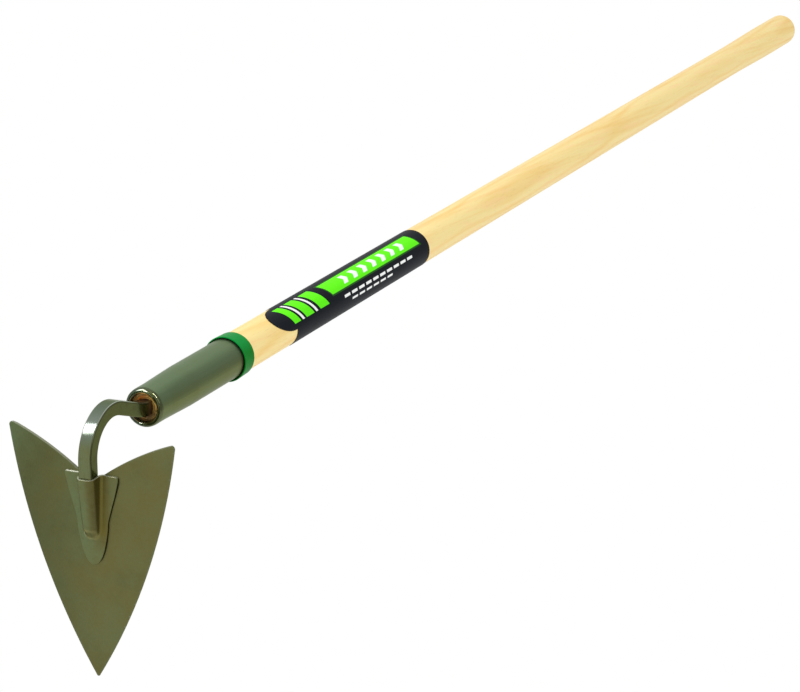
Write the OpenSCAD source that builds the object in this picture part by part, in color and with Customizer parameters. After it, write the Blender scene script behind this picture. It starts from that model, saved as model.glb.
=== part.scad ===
// Warren hoe: a pointed heart-shaped blade on a gooseneck shank,
// with a ferrule and a long turned handle.
// The handle lies along +Y and the blade hangs towards -Z at the -Y end.
// The origin is on the handle axis, where a wall clip holds the bare wood behind the collar.

/* [Handle] */
// Diameter of the turned wood along most of its length
handle_d = 28.6; // [27:0.1:34]
// Length of the wood, from its nose in the ferrule to the domed butt
handle_l = 1372; // [1000:1:1700]
// Diameter of the swelled butt
butt_d = 31; // [29:0.1:36]
// Length of the straight stretch of the butt
butt_land_l = 60; // [30:1:120]
// Length over which the wood grows into the butt
butt_blend_l = 130; // [60:1:250]
// Height of the dome that closes the butt
butt_dome_h = 6; // [2:0.5:14]
// Distance from the ferrule mouth back to the nose of the wood
nose_set_back = 4.5; // [4:0.5:12]
// Distance from the ferrule mouth to the place of the wall clip
clip_place_l = 145; // [143:1:147]

/* [Ferrule] */
// Length of the ferrule
ferrule_l = 115.5; // [105:0.5:122]
// Outer diameter along the straight stretch
ferrule_d = 28.2; // [27:0.1:31]
// Outer diameter at the swaged mouth
mouth_d = 26.2; // [24:0.1:27]
// Thickness of the tube
ferrule_wall = 1.2; // [0.8:0.1:1.6]
// Outer radius of the lip that turns in round the mouth
lip_r = 3.4; // [1.8:0.1:3.6]
// Length of the straight stretch behind the lip
mouth_land_l = 11; // [4:1:30]
// Length over which the tube grows to its full diameter
flare_l = 34; // [10:1:50]

/* [Collar] */
// Length of the collar
collar_l = 13.5; // [11:0.5:20]
// Stretch of the ferrule that the collar covers
collar_lap_l = 5; // [4:0.5:7]
// Wall of the collar at its front, over the thicker of wood and ferrule
collar_wall = 1.4; // [1.3:0.1:3]
// Wall of the collar at its rear, over the wood
collar_rear_wall = 1; // [0.8:0.1:3]
// Open gap round the ferrule at the front of the collar
collar_gap = 0.8; // [0.4:0.1:1]
// Depth of that gap
collar_gap_l = 2.5; // [1:0.5:3.5]
// Chamfer of the collar's outer edges
collar_chamfer = 0.4; // [0.2:0.1:0.6]

/* [Shank] */
// Side of the square bar
bar = 9.2; // [7:0.1:9.5]
// Radius of the bar's long edges
bar_edge_r = 0.9; // [0.4:0.1:1.2]
// Radius of the gooseneck at the middle of the bar
bend_r = 26; // [18:0.5:40]
// Angle at which the neck falls from the bend to the ferrule
fall_angle = 20; // [10:1:30]
// Straight stretch of the falling neck
slope_l = 25.4; // [10:0.1:50]
// Radius of the reverse bend in the mouth
ease_r = 40; // [25:1:80]
// Distance from the mouth back to the end of that bend
neck_inset = 3.5; // [0:0.5:4]
// Straight stretch of the leg above the saddle plate
leg_free_l = 10.6; // [4:0.1:40]
// Length of the tang behind the mouth
tang_l = 95; // [80:1:180]
// Side of the tang at its tip
tang_tip = 4; // [3:0.1:6]
// Stretch of the tang behind the mouth before its taper starts
tang_plain_l = 10; // [5:1:30]
// Length of the forged foot under the saddle plate
foot_l = 35; // [20:1:37]
// Thickness of the foot at its lower end
foot_t = 5.5; // [3:0.1:6.5]

/* [Blade] */
// Width of the blade across the ears, to their sharp corners
blade_w = 116.5; // [95:0.5:160]
// Height of the blade from the ears to the point, to their sharp corners
blade_h = 162; // [130:1:220]
// Thickness of the plate
blade_t = 2; // [1.5:0.1:3]
// Height of the ears above the bottom of the notch
ear_rise = 33; // [15:0.5:45]
// Depth of the notch below the top of the saddle plate
notch_below = 4.5; // [2:0.5:10]
// Radius of the curved cutting edges
side_edge_r = 417; // [250:1:900]
// Radius of the curved upper edges
top_edge_r = 195; // [90:1:500]
// Radius of the ear corners
ear_r = 2.2; // [1:0.1:4]
// Radius of the point
point_r = 1.2; // [0.6:0.1:4]
// Width of the ground bevel on the back of the cutting edges
bevel_w = 5; // [2:0.5:10]
// Thickness that the bevel leaves at the edge
edge_t = 0.6; // [0.3:0.1:1]

/* [Saddle plate] */
// Thickness of the pressed sheet
sheet_t = 1.5; // [1:0.1:2]
// Width of the plate at its shoulders
shoulder_w = 38.6; // [34:0.2:50]
// Width of the tongue
tongue_w = 20; // [18:0.2:24]
// Distance from the top of the plate to the widest place of the tongue
tongue_start_l = 30; // [26:0.5:38]
// Length of the tongue from there to its end
tongue_l = 27.5; // [20:0.5:45]
// Radius of the shoulder corners
shoulder_r = 2.5; // [1:0.1:4]
// Size of the soft corner where the shoulders run into the tongue
waist_soft = 3; // [0.4:0.1:5]
// Radius inside the channel's crest
crest_r = 1.6; // [0.8:0.1:1.8]
// Radius at the foot of the channel walls, on the front
root_r = 1.2; // [0.8:0.1:2]
// Steepest angle of the channel walls
wall_angle = 82; // [70:1:86]
// Length of the closed end of the channel
channel_end_l = 7; // [3:0.5:8]
// Share of the crest's width that is lost towards the closed end
end_narrow_share = 0.55; // [0:0.05:0.8]

/* [Label] */
// Distance from the ferrule mouth to the straight part of the label
label_start_l = 190.5; // [185:0.5:300]
// Length of the straight part of the label
label_l = 224.5; // [120:0.5:400]
// Length of the rounded lobe in front of it
lobe_l = 28; // [10:1:32]
// Width of the lobe, seen along its direction
lobe_w = 23.4; // [14:0.2:26]
// Direction of the lobe round the handle, from +X towards +Z
lobe_angle = 57; // [0:1:180]
// Thickness of the film
label_t = 0.25; // [0.1:0.05:0.5]
// Width of bare wood between the long edges of the label
label_seam_w = 12; // [6:0.5:18]
// Radius of the label's corners
label_corner_r = 5; // [2:0.5:8]
// Direction of the seam round the handle, from +X towards +Z
label_seam_angle = 270; // [0:1:360]

/* [Pin] */
// Diameter of the pin through ferrule, wood and tang
pin_d = 3.2; // [2.5:0.1:3.6]
// Distance from the ferrule mouth to the pin
pin_place_l = 66; // [55:1:80]
// Length of the pin above the handle axis
pin_past_l = 8; // [6:0.5:10]
// Diameter of the pin's head
pin_head_d = 6.4; // [5:0.1:8]
// Height of the domed head at its middle
pin_head_h = 1.6; // [1:0.1:2.5]

/* [Fit] */
// Clearance between the shank and what holds it
shank_clear = 0.1; // [0.05:0.01:0.2]
// Clearance between the shank's foot and the channel over it
saddle_clear = 0.3; // [0.2:0.05:0.5]
// Clearance between the wood and what is round it, and between ferrule and collar
sleeve_clear = 0.05; // [0.02:0.01:0.15]

/* [Hidden] */
$fn = 96;
// Overrun of cuts past the faces that they open
over = 1;
// Steps of the drawn curves
arc_facets = 360;
edge_steps = 5;
bend_steps = 22;
ease_steps = 5;
swell_steps = 14;
crest_steps = 4;
corner_steps = 6;
shoulder_steps = 8;
waist_steps = 14;
tongue_steps = 12;
lobe_steps = 24;
// Last angle drawn on the elliptical tongue
tongue_last_angle = 87;
// Least height of the channel's bends and walls, kept on the flat tongue too
flat_h = 0.01;
// Share of a corner's radius that its centre lies inside the edges, so that the round crosses them
corner_share = 0.98;
// Share of the plate's width that the channel may fill at most
channel_share = 0.92;

STEEL_DARK = [0.36, 0.36, 0.24];
STEEL_GREY = [0.40, 0.45, 0.36];
STEEL_PIN = [0.50, 0.52, 0.46];
GREEN = [0.13, 0.62, 0.32];
WOOD = [0.94, 0.84, 0.58];
FILM = [0.10, 0.12, 0.15];

// Radii that pieces share
handle_r = handle_d / 2;
butt_r = butt_d / 2;
ferrule_r = ferrule_d / 2;
mouth_r = mouth_d / 2;
pin_r = pin_d / 2;
pin_hole_r = pin_r + sleeve_clear;
opening_r = mouth_r - lip_r;
lip_in_r = lip_r - ferrule_wall;
flare_end_y = lip_r + mouth_land_l + flare_l;
land_end_y = lip_r + mouth_land_l;
butt_y = nose_set_back + handle_l;

// Neck of the shank, walked forward from the mouth in the plane of the handle
ease_end = [neck_inset - ease_r * sin(fall_angle), ease_r * (1 - cos(fall_angle))];
bend_start = ease_end + slope_l * [-cos(fall_angle), sin(fall_angle)];
bend_centre = bend_start - bend_r * [sin(fall_angle), cos(fall_angle)];
leg_y = bend_centre[0] - bend_r;
front_y = leg_y + bar / 2;
head_z = bend_centre[1] - leg_free_l;

// Hole for the tang, wide enough for its corners
tang_hole_r = bar / sqrt(2) + shank_clear;
tang_hole_tip_r = tang_tip / sqrt(2) + shank_clear;

// Outline of the blade, seen from the front with the top of the saddle plate at zero
notch_v = -notch_below;
ear_v = notch_v + ear_rise;
point_v = ear_v - blade_h;
ear_p = [blade_w / 2, ear_v];
point_p = [0, point_v];
notch_p = [0, notch_v];
side_c = arc_centre(point_p, ear_p, side_edge_r);
top_c = arc_centre(ear_p, notch_p, top_edge_r);
ear_in = ear_r * corner_share;
point_in = point_r * corner_share;
ear_c = circles_meet(side_c, side_edge_r - ear_in, top_c, top_edge_r - ear_in);
point_c = circles_meet(flip(side_c), side_edge_r - point_in, side_c, side_edge_r - point_in);

// Channel of the saddle plate: half its inner width, and the sum of its two bends
channel_half = bar / 2 + saddle_clear;
root_back_r = root_r + sheet_t;
bends_r = crest_r + root_back_r;
bends_h = bends_r * (1 - cos(wall_angle));
bends_x = bends_r * sin(wall_angle);
full_crest_half = channel_half - crest_r * sin(wall_angle);

// Centre of the arc from p to q that has the radius r and lies left of that line
function arc_centre(p, q, r) =
    let (half = (q - p) / 2, reach = sqrt(r * r - half * half))
    p + half + reach * [-half[1], half[0]] / norm(half);

// Meeting point of two circles, on the left of the line from a to b
function circles_meet(a, ra, b, rb) =
    let (gap = norm(b - a), dir = (b - a) / gap)
    let (along = (gap * gap + ra * ra - rb * rb) / (2 * gap))
    a + along * dir + sqrt(ra * ra - along * along) * [-dir[1], dir[0]];

function flip(p) = [-p[0], p[1]];

function smooth(t) = t * t * (3 - 2 * t);

function unit_share(t) = min(1, max(0, t));

// Half the width of the saddle plate at the depth d below its top
function shoulder_half(d) =
    shoulder_w / 2 - d * (shoulder_w - tongue_w) / 2 / tongue_start_l;

function tongue_half(d) =
    tongue_w / 2 * sqrt(max(0, 1 - pow(max(0, d - tongue_start_l) / tongue_l, 2)));

function corner_loss(d) =
    d < shoulder_r ? shoulder_r - sqrt(shoulder_r * shoulder_r - pow(shoulder_r - d, 2)) : 0;

function plate_half(d) =
    let (a = shoulder_half(d), b = tongue_half(d))
    let (soft = waist_soft * unit_share(b / tongue_w))
    (a + b + sqrt(pow(a - b, 2) + soft * soft)) / 2 - corner_loss(d);

// Outline of the plate below the waist: past it only the tongue counts
function half_width(d) = d > tongue_start_l ? tongue_blend(d) : plate_half(d);

function tongue_blend(d) =
    let (fade = unit_share(1 - (d - tongue_start_l) / (tongue_l / 2)))
    tongue_half(d) + (plate_half(tongue_start_l) - tongue_w / 2) * smooth(fade);

// Thickness of the forged foot at the depth d
function foot_at(d) = bar - (bar - foot_t) * d / foot_l;

// Height inside the channel at the depth d
function channel_h(d) =
    let (open_h = foot_at(min(d, foot_l)) + saddle_clear)
    max(2 * flat_h, open_h * (1 - smooth(unit_share((d - foot_l) / channel_end_l))));

// Half the width of the channel's flat crest at the depth d
function crest_half(d) =
    full_crest_half * (1 - end_narrow_share * smooth(unit_share((d - foot_l) / channel_end_l)));

// One half of the channel's section on its back face, from the wing to the crest.
// Each point is [x, height, angle of the sheet].
function half_section(d) =
    let (h = channel_h(d), flat = crest_half(d))
    let (wall_h = max(flat_h, h - bends_h), arcs_h = h - wall_h)
    let (angle = 2 * atan(arcs_h / bends_x))
    let (sum_r = (bends_x * bends_x + arcs_h * arcs_h) / (2 * arcs_h))
    let (root = sum_r * root_back_r / bends_r, crest = sum_r * crest_r / bends_r)
    let (root_x = flat + bends_x + wall_h / tan(angle))
    let (fit_share = min(1, channel_share * half_width(d) / root_x))
    concat(
        [for (i = [0:crest_steps])
            let (a = angle * i / crest_steps)
            [fit_share * (root_x - root * sin(a)), root * (1 - cos(a)), a]],
        [for (i = [0:crest_steps])
            let (a = angle * (1 - i / crest_steps))
            [fit_share * (flat + crest * sin(a)), h - crest * (1 - cos(a)), a]]);

function whole_section(d) =
    let (half = half_section(d), edge = [half_width(d), 0, 0])
    concat([edge], half, reversed([for (p = half) [-p[0], p[1], -p[2]]]), [[-edge[0], 0, 0]]);

function reversed(list) = [for (i = [len(list) - 1:-1:0]) list[i]];

// Ring round the sheet at the depth d: its back face, then its front face on the way back
function sheet_ring(d) =
    let (section = whole_section(d))
    concat(
        [for (p = section) [p[0], -d, p[1]]],
        [for (p = reversed(section)) [p[0] + sheet_t * sin(p[2]), -d, p[1] + sheet_t * cos(p[2])]]);

// Depths at which the saddle plate is drawn, closer together where it turns
waist_end_l = foot_l + channel_end_l;
tongue_first_angle = asin((waist_end_l - tongue_start_l) / tongue_l);
saddle_depths = concat(
    [for (i = [0:corner_steps]) shoulder_r * (1 - cos(90 * i / corner_steps))],
    [for (i = [1:shoulder_steps])
        shoulder_r + (tongue_start_l - shoulder_r) * i / shoulder_steps],
    [for (i = [1:waist_steps])
        tongue_start_l + (waist_end_l - tongue_start_l) * i / waist_steps],
    [for (i = [1:tongue_steps])
        let (a = tongue_first_angle + (tongue_last_angle - tongue_first_angle) * i / tongue_steps)
        tongue_start_l + tongue_l * sin(a)]);

// Draws in the frame of the ferrule mouth
module from_mouth() {
    translate([0, -clip_place_l, 0]) children();
}

// Turns a solid of revolution about Z into one about the handle axis
module along_handle() {
    from_mouth() rotate([-90, 0, 0]) children();
}

// Draws in side view: first coordinate along the handle, second one up, third one across
module in_side_view() {
    from_mouth() rotate([90, 0, 90]) children();
}

// Draws on the blade: x across, y up from the top of the saddle plate, z out of the front face
module on_blade() {
    from_mouth() translate([0, front_y, head_z]) rotate([90, 0, 0]) children();
}

// Material outside a corner rounded by the radius r, between two curves round c1 and c2
module corner_cut(centre, r, c1, c2) {
    out1 = (centre - c1) / norm(centre - c1);
    out2 = (centre - c2) / norm(centre - c2);
    reach = r + over;
    middle = (out1 + out2) / norm(out1 + out2);
    far = reach / (out1 * middle);
    difference() {
        polygon([centre, centre + reach * out1, centre + far * middle, centre + reach * out2]);
        translate(centre) circle(r);
    }
}

// Half of the blade's body: a disc whose rim is the cutting edge, ground on the back
module edge_disc(centre) {
    translate(centre) rotate_extrude($fn = arc_facets) polygon([
        [0, 0],
        [side_edge_r, 0],
        [side_edge_r, -edge_t],
        [side_edge_r - bevel_w, -blade_t],
        [0, -blade_t]]);
}

// Everything below the two upper edges
module below_top() {
    for (c = [top_c, flip(top_c)]) translate(c) circle(top_edge_r, $fn = arc_facets);
    polygon([ear_p, notch_p, flip(ear_p), flip(ear_p) - [0, blade_h + over], ear_p - [0, blade_h + over]]);
}

module blade() {
    color(STEEL_DARK) on_blade() difference() {
        intersection() {
            translate([0, 0, -blade_t]) linear_extrude(blade_t) below_top();
            edge_disc(side_c);
            edge_disc(flip(side_c));
        }
        translate([0, 0, -blade_t - over]) linear_extrude(blade_t + 2 * over) {
            corner_cut(ear_c, ear_r, side_c, top_c);
            mirror([1, 0]) corner_cut(ear_c, ear_r, side_c, top_c);
            corner_cut(point_c, point_r, side_c, flip(side_c));
        }
    }
}

// Skin over a row of rings that have the same number of points.
// A strip between the two halves of its ring closes each end.
module loft(rings) {
    n = len(rings[0]);
    last = len(rings) - 1;
    sides = [for (i = [0:last - 1], j = [0:n - 1])
        let (a = i * n + j, b = i * n + (j + 1) % n)
        each [[a, b, b + n], [a, b + n, a + n]]];
    strip = [for (j = [0:n / 2 - 2]) [j, j + 1, n - 2 - j, n - 1 - j]];
    first_end = [for (quad = strip) reversed(quad)];
    last_end = [for (quad = strip) [for (j = quad) last * n + j]];
    polyhedron([for (ring = rings) each ring], concat(sides, first_end, last_end));
}

// Pressed sheet, lofted from its top edge to the end of the tongue
module saddle_plate() {
    color(STEEL_GREY) on_blade() loft([for (d = saddle_depths) sheet_ring(d)]);
}

// Ring round the bar at a place of the side view. The bar's outer face looks towards the angle out.
function bar_ring(place, out, thickness, width) =
    let (u = thickness / 2 - bar_edge_r, v = width / 2 - bar_edge_r)
    [for (q = [0:3], i = [0:edge_steps])
        let (a = 90 * (q + i / edge_steps))
        let (along = u * (q == 0 || q == 3 ? 1 : -1) + bar_edge_r * cos(a))
        let (across = v * (q < 2 ? -1 : 1) - bar_edge_r * sin(a))
        [place[0] + along * cos(out), place[1] + along * sin(out), across]];

function round_at(centre, r, a) = centre + r * [cos(a), sin(a)];

// The bar from the thin end of its foot, up the leg, round the gooseneck and into the tang
shank_rings = concat(
    [bar_ring([front_y - foot_t / 2, head_z - foot_l], 180, foot_t, bar),
        bar_ring([leg_y, head_z], 180, bar, bar)],
    [for (i = [0:bend_steps])
        let (a = 180 - (90 + fall_angle) * i / bend_steps)
        bar_ring(round_at(bend_centre, bend_r, a), a, bar, bar)],
    [for (i = [0:ease_steps])
        let (a = 90 - fall_angle * (1 - i / ease_steps))
        bar_ring(round_at([neck_inset, ease_r], -ease_r, a), a, bar, bar)],
    [bar_ring([tang_plain_l, 0], 90, bar, bar),
        bar_ring([tang_l, 0], 90, tang_tip, tang_tip)]);

module shank() {
    color(STEEL_GREY) difference() {
        in_side_view() loft(shank_rings);
        pin_hole(pin_hole_r);
    }
}

// Hole for the pin, from below the ferrule to the end of the pin
module pin_hole(r) {
    from_mouth() translate([0, pin_place_l, -ferrule_r - over])
        cylinder(r = r, h = ferrule_r + over + pin_past_l + shank_clear);
}

module ferrule() {
    color(STEEL_GREY) difference() {
        along_handle() rotate_extrude() {
            // lip turned in round the mouth
            translate([opening_r, lip_r]) difference() {
                intersection() {
                    circle(lip_r);
                    translate([0, -lip_r]) square(lip_r);
                }
                circle(lip_in_r);
            }
            polygon([
                [mouth_r, lip_r],
                [mouth_r, land_end_y],
                [ferrule_r, flare_end_y],
                [ferrule_r, ferrule_l],
                [ferrule_r - ferrule_wall, ferrule_l],
                [ferrule_r - ferrule_wall, flare_end_y],
                [mouth_r - ferrule_wall, land_end_y],
                [mouth_r - ferrule_wall, lip_r]]);
        }
        pin_hole(pin_hole_r);
    }
}

module collar() {
    front_y0 = ferrule_l - collar_lap_l;
    rear_y0 = front_y0 + collar_l;
    front_r = max(ferrule_r, handle_r) + collar_wall;
    rear_r = handle_r + collar_rear_wall;
    ferrule_hole_r = ferrule_r + sleeve_clear;
    wood_hole_r = handle_r + sleeve_clear;
    color(GREEN) along_handle() rotate_extrude() polygon([
        [ferrule_r + collar_gap, front_y0],
        [front_r - collar_chamfer, front_y0],
        [front_r, front_y0 + collar_chamfer],
        [rear_r, rear_y0 - collar_chamfer],
        [rear_r - collar_chamfer, rear_y0],
        [wood_hole_r, rear_y0],
        [wood_hole_r, ferrule_l + sleeve_clear],
        [ferrule_hole_r, ferrule_l + sleeve_clear],
        [ferrule_hole_r, front_y0 + collar_gap_l],
        [ferrule_r + collar_gap, front_y0 + collar_gap_l]]);
}

module handle() {
    land_y = butt_y - butt_dome_h - butt_land_l;
    blend_y = land_y - butt_blend_l;
    in_ferrule = ferrule_wall + sleeve_clear;
    color(WOOD) difference() {
        along_handle() rotate_extrude() polygon(concat(
            [[0, nose_set_back],
                [mouth_r - in_ferrule, nose_set_back],
                [mouth_r - in_ferrule, land_end_y],
                [ferrule_r - in_ferrule, flare_end_y],
                [ferrule_r - in_ferrule, ferrule_l + 2 * sleeve_clear],
                [handle_r, ferrule_l + 2 * sleeve_clear]],
            [for (i = [0:swell_steps])
                let (t = i / swell_steps)
                [handle_r + (butt_r - handle_r) * smooth(t), blend_y + butt_blend_l * t]],
            [for (i = [0:swell_steps])
                let (a = 90 * i / swell_steps)
                [butt_r * cos(a), butt_y - butt_dome_h + butt_dome_h * sin(a)]]));
        along_handle() translate([0, 0, tang_plain_l])
            cylinder(r1 = tang_hole_r, r2 = tang_hole_tip_r, h = tang_l - tang_plain_l + shank_clear);
        along_handle() cylinder(r = tang_hole_r, h = tang_plain_l);
        pin_hole(pin_hole_r);
    }
}

// Draws on the wood as seen along an angle from +X towards +Z: x along the handle, y across.
// What is drawn goes outwards from the handle axis.
module on_wood(angle, reach) {
    from_mouth() translate([0, label_start_l, 0]) rotate([0, -angle, 0])
        rotate([90, 0, 90]) linear_extrude(reach) children();
}

module label() {
    seam_half = label_seam_w / 2;
    back_r = handle_r + sleeve_clear;
    front_r = back_r + label_t;
    color(FILM) difference() {
        along_handle() translate([0, 0, label_start_l - lobe_l]) difference() {
            cylinder(r = front_r, h = lobe_l + label_l);
            translate([0, 0, -over]) cylinder(r = back_r, h = lobe_l + label_l + 2 * over);
        }
        // what the film leaves bare beside its lobe
        difference() {
            along_handle() translate([0, 0, label_start_l - lobe_l - over])
                cylinder(r = front_r + over, h = lobe_l + over);
            on_wood(lobe_angle, front_r + 2 * over) polygon(concat(
                [for (i = [0:lobe_steps])
                    let (a = 90 + 180 * i / lobe_steps)
                    [lobe_l * cos(a), lobe_w / 2 * sin(a)]],
                [[over, -lobe_w / 2], [over, lobe_w / 2]]));
        }
        // bare seam, opened out round the corners
        on_wood(label_seam_angle, front_r + over) {
            translate([-lobe_l - over, -seam_half]) square([lobe_l + label_l + 2 * over, label_seam_w]);
            for (end = [0, 1], side = [0, 1])
                translate([end * label_l, 0]) mirror([end, 0]) mirror([0, side])
                    translate([0, seam_half]) difference() {
                        translate([-over, -over]) square(label_corner_r + over);
                        translate([label_corner_r, label_corner_r]) circle(label_corner_r);
                    }
        }
    }
}

// Drive pin whose domed head sits on the underside of the ferrule
module ferrule_pin() {
    dome_r = (pin_head_d * pin_head_d / 4 + pin_head_h * pin_head_h) / (2 * pin_head_h);
    color(STEEL_PIN) from_mouth() translate([0, pin_place_l, -ferrule_r]) {
        cylinder(r = pin_r, h = ferrule_r + pin_past_l);
        rotate_extrude() intersection() {
            translate([0, dome_r - pin_head_h]) circle(dome_r);
            translate([0, -pin_head_h]) square([pin_head_d / 2, pin_head_h]);
        }
    }
}

blade();
saddle_plate();
shank();
ferrule();
collar();
handle();
label();
ferrule_pin();
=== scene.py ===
# %% [markdown]
# # A warren hoe, dressed in Blender
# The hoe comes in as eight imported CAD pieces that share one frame: the handle lies along +Y,
# the blade hangs towards -Z, and Blender counts in metres. We keep the pieces whose form is
# already right. The three steel pieces that light shows most are modelled again, two small
# pieces are added in the ferrule's mouth, and everything gets a finish made of nodes.

# %% Load the frame
import math

import bpy
from mathutils import Matrix, Vector


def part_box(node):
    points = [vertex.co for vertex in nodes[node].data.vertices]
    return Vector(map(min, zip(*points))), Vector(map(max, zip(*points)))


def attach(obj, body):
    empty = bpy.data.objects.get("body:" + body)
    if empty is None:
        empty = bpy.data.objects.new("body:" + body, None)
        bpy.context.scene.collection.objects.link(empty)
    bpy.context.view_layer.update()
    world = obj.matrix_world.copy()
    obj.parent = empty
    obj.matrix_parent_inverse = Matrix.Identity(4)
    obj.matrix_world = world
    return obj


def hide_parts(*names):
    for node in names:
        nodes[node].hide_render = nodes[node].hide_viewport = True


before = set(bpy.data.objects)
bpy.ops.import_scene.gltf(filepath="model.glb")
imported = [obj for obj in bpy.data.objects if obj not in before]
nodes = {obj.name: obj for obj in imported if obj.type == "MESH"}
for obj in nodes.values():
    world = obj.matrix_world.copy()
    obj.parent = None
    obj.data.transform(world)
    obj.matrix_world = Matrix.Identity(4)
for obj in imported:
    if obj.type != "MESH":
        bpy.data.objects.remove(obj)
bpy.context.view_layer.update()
scene = bpy.context.scene
MM = 0.001
print("CAD pieces:", ", ".join(sorted(nodes)))

# %% [markdown]
# The photograph looks along the handle from the blade's right, a little from above, with a
# long lens. A camera is placed by an azimuth, an elevation and a slight roll. We could aim it
# with a Track To constraint, but a plain rotation is easier to read and never drifts.

# %% Camera
AZIMUTH, ELEVATION, ROLL = (math.radians(a) for a in (24.17, 17.38, 0.154))
CAMERA_PLACE = (0.82714, -1.59461, 0.56123)
SENSOR_W = 36.0
FOCAL_PX, IMAGE_W = 2796.0, 800

lens = bpy.data.cameras.new("camera")
lens.sensor_width = SENSOR_W
lens.lens = FOCAL_PX * SENSOR_W / IMAGE_W
camera = bpy.data.objects.new("camera", lens)
camera.matrix_world = (
    Matrix.Translation(CAMERA_PLACE)
    @ Matrix.Rotation(AZIMUTH, 4, "Z")
    @ Matrix.Rotation(math.pi / 2 - ELEVATION, 4, "X")
    @ Matrix.Rotation(ROLL, 4, "Z")
)
scene.collection.objects.link(camera)
scene.camera = camera
print(f"camera with a {lens.lens:.1f} mm lens")

# %% [markdown]
# ## Shader maths in plain Python
# Node trees soon get hard to follow. One small class wraps an output socket, so that
# `1 - mask * 0.5` adds its own Math nodes, and one method adds any other kind of node. Places on
# a piece are easier to think of in millimetres, so the finishes below measure in those.

# %% A socket that can do maths
class Wire:
    def __init__(self, tree, socket):
        self.tree, self.socket = tree, socket

    def node(self, kind, settings=None, sockets=None, out=0):
        made = self.tree.nodes.new("ShaderNode" + kind)
        for key, value in (settings or {}).items():
            setattr(made, key, value)
        for key, value in (sockets or {}).items():
            if isinstance(value, Wire):
                self.tree.links.new(value.socket, made.inputs[key])
            else:
                made.inputs[key].default_value = value
        return Wire(self.tree, made.outputs[out] if made.outputs else None)

    def math(self, operation, *values):
        return self.node("Math", {"operation": operation}, dict(enumerate(values)))

    def __add__(self, other):
        return self.math("ADD", self, other)

    def __radd__(self, other):
        return self.math("ADD", other, self)

    def __sub__(self, other):
        return self.math("SUBTRACT", self, other)

    def __rsub__(self, other):
        return self.math("SUBTRACT", other, self)

    def __mul__(self, other):
        return self.math("MULTIPLY", self, other)

    def __rmul__(self, other):
        return self.math("MULTIPLY", other, self)

    def __truediv__(self, other):
        return self.math("DIVIDE", self, other)

    def __pow__(self, other):
        return self.math("POWER", self, other)

    def __abs__(self):
        return self.math("ABSOLUTE", self)

    def __neg__(self):
        return 0 - self

    def least(self, other):
        return self.math("MINIMUM", self, other)

    def most(self, other):
        return self.math("MAXIMUM", self, other)

    def rise(self, low, high):
        """0 below low, 1 above high, and a soft step between them."""
        return self.node("MapRange", {"interpolation_type": "SMOOTHSTEP"},
                         {"Value": self, "From Min": low, "From Max": high})

    def fall(self, low, high):
        return 1 - self.rise(low, high)

    def between(self, low, high, soft):
        return self.rise(low - soft, low + soft) * self.fall(high - soft, high + soft)

    def wave(self):
        """A sine between 0 and 1, for rings and ripples."""
        return self.math("SINE", self) * 0.5 + 0.5

    def mix(self, first, second):
        """Colour from first to second, with this wire as the factor."""
        # a Mix node has sockets for each data type: these numbers are its colour set
        return self.node("Mix", {"data_type": "RGBA"}, {0: self, 6: first, 7: second}, out=2)

    def moved(self, place=(0, 0, 0), scale=(1, 1, 1)):
        return self.node("Mapping", {}, {"Vector": self, "Location": place, "Scale": scale})

    def noise(self, scale, detail=2.0, roughness=0.5):
        return self.node("TexNoise", {}, {"Vector": self, "Scale": scale, "Detail": detail,
                                          "Roughness": roughness})

    def parts(self):
        split = self.node("SeparateXYZ", {}, {0: self})
        return [Wire(self.tree, socket) for socket in split.socket.node.outputs]

    def millimetres(self):
        return [part * 1000 for part in self.parts()]

    def bump(self, distance, strength=1.0):
        return self.node("Bump", {}, {"Height": self, "Distance": distance, "Strength": strength})


def hypot(one, other):
    return (one ** 2 + other ** 2) ** 0.5


def srgb(red, green, blue):
    """A colour as a picture shows it, 0 to 255, as the light it stands for."""
    def light(c):
        c /= 255
        return c / 12.92 if c <= 0.04045 else ((c + 0.055) / 1.055) ** 2.4
    return (light(red), light(green), light(blue), 1.0)


def new_finish(name):
    """A new material, and a wire that holds the Object coordinates on it."""
    material = bpy.data.materials.new(name)
    material.use_nodes = True
    tree = material.node_tree
    tree.nodes.clear()
    coordinates = tree.nodes.new("ShaderNodeTexCoord")
    return material, Wire(tree, coordinates.outputs["Object"])


def surface(wire, **sockets):
    """Joins a Principled shader to the output. Socket names are written with _ for spaces."""
    shader = wire.node("BsdfPrincipled", {}, {k.replace("_", " "): v for k, v in sockets.items()})
    wire.node("OutputMaterial", {}, {"Surface": shader})


def dress(obj, material):
    obj.data.materials.clear()
    obj.data.materials.append(material)
    print(f"{obj.name} wears {material.name}, made of {len(material.node_tree.nodes)} nodes")


WHITE = srgb(255, 255, 255)
print("white is", WHITE)

# %% [markdown]
# ## The studio
# A tool photographed for a catalogue floats on white. A low pale floor keeps the soft shadow,
# and fades to plain white away from the tool. The camera sees a white sky. A reflection sees it
# too, but the right side of the room is dimmer, and that gives glossy steel its dark sides. We
# could hang black cards for that, but they would stand in the way of other views.

# %% Floor and sky
FLOOR_Z, FLOOR_SIZE = -0.95, 30
FLOOR_MIDDLE = (0.0, 0.45)
FLOOR_PAINT = srgb(247, 247, 247)
SHADOW_R, WHITE_R = 0.55, 1.15
SKY_LIGHT, DIM_SIDE = 0.87, 0.5
DIM_FLOOR, DIM_SKY = (1.4, 3.0), (0.05, 0.45)

bpy.ops.object.select_all(action="DESELECT")
bpy.ops.mesh.primitive_plane_add(size=FLOOR_SIZE, location=(*FLOOR_MIDDLE, FLOOR_Z))
floor = bpy.context.object
floor.name = "floor"


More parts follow.
